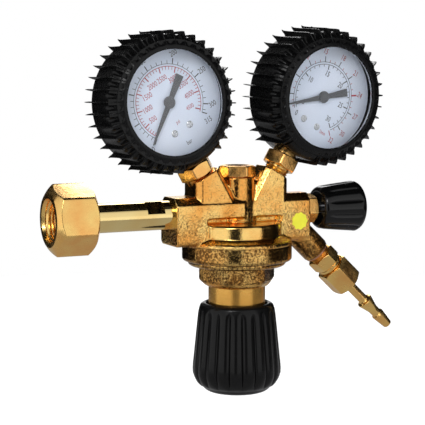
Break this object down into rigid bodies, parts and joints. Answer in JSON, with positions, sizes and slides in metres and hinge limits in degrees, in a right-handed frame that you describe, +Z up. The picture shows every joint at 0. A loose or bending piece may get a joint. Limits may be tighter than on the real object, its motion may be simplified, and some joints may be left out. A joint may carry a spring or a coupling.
{
  "type": "gas regulator",
  "caption": "Brass gas-cylinder pressure regulator with leaning twin dial gauges in rubber boots, adjusting knob below and valved hose outlet.",
  "frame": {"origin": "centre of the inlet sealing plane, on the axis of the inlet nut's thread", "axes": "+X along the inlet axis into the body, +Z up, away from the adjusting knob, the dials face -Y"},
  "size_m": [0.1996, 0.058, 0.1933],
  "materials": {
    "cast_brass": "forged and tumbled, slightly grainy",
    "turned_brass": "turned and polished",
    "bronze": "dull bronze",
    "copper": "annealed copper",
    "steel": "bright zinc-plated steel",
    "black_plastic": "satin moulded plastic",
    "gloss_black": "glossy moulded plastic",
    "boot_rubber": "satin moulded rubber",
    "seal": "nitrile rubber",
    "ptfe": "white sealing plastic",
    "black_paint": "black enamel",
    "dial_face": "pale printed enamel",
    "pointer_grey": "dark grey paint",
    "lens": "clear flat window",
    "sticker": "printed yellow vinyl"
  },
  "bodies": {
    "regulator": {"body": "cast_brass", "bonnet": "turned_brass", "inlet_stem": "turned_brass", "inlet_seal": "seal", "inlet_filter": "bronze", "valve_nozzle": "turned_brass", "valve_spring": "steel", "diaphragm": "seal", "diaphragm_slip_ring": "turned_brass", "adjusting_spring": "steel", "relief_housing": "turned_brass", "relief_spring": "steel", "flow_orifice": "turned_brass", "outlet_adapter": "turned_brass", "outlet_seal": "copper", "hose_tail": "turned_brass", "gland_nut": "turned_brass", "gland_packing": "ptfe", "round_sticker": "sticker", "gauge_seals": "copper", "dial_screws": "steel", "left_socket": "turned_brass", "left_case": "black_paint", "left_bezel": "steel", "left_lens": "lens", "left_dial": "dial_face", "left_tube": "bronze", "left_movement": "turned_brass", "left_boot": "boot_rubber", "right_socket": "turned_brass", "right_case": "black_paint", "right_bezel": "steel", "right_lens": "lens", "right_dial": "dial_face", "right_tube": "bronze", "right_movement": "turned_brass", "right_boot": "boot_rubber"},
    "thrust_ring": {"nut_thrust_ring": "turned_brass"},
    "inlet_nut": {"inlet_nut": "turned_brass"},
    "spring_button": {"spring_button": "steel"},
    "adjusting_screw": {"adjusting_spindle": "steel", "adjusting_knob": "black_plastic", "knob_cap": "black_plastic", "knob_screw": "steel"},
    "diaphragm_plate": {"diaphragm_plate": "steel", "diaphragm_nut": "turned_brass"},
    "valve_poppet": {"valve_poppet": "steel", "valve_seat_insert": "ptfe"},
    "relief_poppet": {"relief_poppet": "turned_brass"},
    "shutoff_disc": {"shutoff_disc": "turned_brass"},
    "shutoff_handle": {"shutoff_spindle": "steel", "shutoff_knob": "gloss_black", "shutoff_screw": "steel"},
    "union_nut": {"union_nut": "turned_brass"},
    "left_hand": {"left_pinion": "steel", "left_pointer": "pointer_grey"},
    "left_sector": {"left_sector": "turned_brass"},
    "right_hand": {"right_pinion": "steel", "right_pointer": "pointer_grey"},
    "right_sector": {"right_sector": "turned_brass"}
  },
  "joints": [
    {"name": "nut_slide", "type": "slide", "parent": "regulator", "child": "thrust_ring", "axis": [1, 0, 0], "range_m": [0, 0.04]},
    {"name": "nut_turn", "type": "hinge", "parent": "thrust_ring", "child": "inlet_nut", "pos_m": [0, 0, 0], "axis": [1, 0, 0], "continuous": true},
    {"name": "button_lift", "type": "slide", "parent": "regulator", "child": "spring_button", "axis": [0, 0, 1], "range_m": [0, 0.00825], "deforming": ["adjusting_spring"]},
    {"name": "knob_turn", "type": "hinge", "parent": "spring_button", "child": "adjusting_screw", "pos_m": [0.0895, 0, 0], "axis": [0, 0, 1], "range_deg": [0, 1981]},
    {"name": "plate_lift", "type": "slide", "parent": "regulator", "child": "diaphragm_plate", "axis": [0, 0, 1], "range_m": [0, 0.0008], "deforming": ["diaphragm"]},
    {"name": "poppet_lift", "type": "slide", "parent": "regulator", "child": "valve_poppet", "axis": [0, 0, 1], "range_m": [0, 0.0008], "deforming": ["valve_spring"]},
    {"name": "relief_lift", "type": "slide", "parent": "regulator", "child": "relief_poppet", "axis": [0, 0, 1], "range_m": [0, 0.0015], "stiffness_N_per_m": 300, "springref_m": -0.004, "deforming": ["relief_spring"]},
    {"name": "valve_lift", "type": "slide", "parent": "regulator", "child": "shutoff_disc", "axis": [1, 0, 0], "range_m": [0, 0.003]},
    {"name": "valve_turn", "type": "hinge", "parent": "shutoff_disc", "child": "shutoff_handle", "pos_m": [0.0895, 0, 0], "axis": [1, 0, 0], "range_deg": [0, 1081]},
    {"name": "union_turn", "type": "hinge", "parent": "regulator", "child": "union_nut", "pos_m": [0.1123, 0, 0], "axis": [0.7254, 0, -0.6884], "continuous": true},
    {"name": "left_pointer_turn", "type": "hinge", "parent": "regulator", "child": "left_hand", "pos_m": [0.046, 0, 0.05772], "axis": [-0.0458, 0.9986, -0.0254], "range_deg": [0, 270]},
    {"name": "left_sector_turn", "type": "hinge", "parent": "regulator", "child": "left_sector", "pos_m": [0.05327, 0, 0.04461], "axis": [-0.0458, 0.9986, -0.0254], "range_deg": [-34, 0]},
    {"name": "right_pointer_turn", "type": "hinge", "parent": "regulator", "child": "right_hand", "pos_m": [0.13445, 0, 0.06035], "axis": [-0.0914, 0.9945, 0.0507], "range_deg": [0, 270]},
    {"name": "right_sector_turn", "type": "hinge", "parent": "regulator", "child": "right_sector", "pos_m": [0.12718, 0, 0.04723], "axis": [-0.0914, 0.9945, 0.0507], "range_deg": [-34, 0]}
  ],
  "couplings": [
    {"joint": "knob_turn", "follows": "button_lift", "rad_per_m": 4188.8},
    {"joint": "poppet_lift", "follows": "plate_lift", "ratio": 1},
    {"joint": "valve_turn", "follows": "valve_lift", "rad_per_m": 6283.2},
    {"joint": "left_sector_turn", "follows": "left_pointer_turn", "ratio": -0.125},
    {"joint": "right_sector_turn", "follows": "right_pointer_turn", "ratio": -0.125}
  ]
}
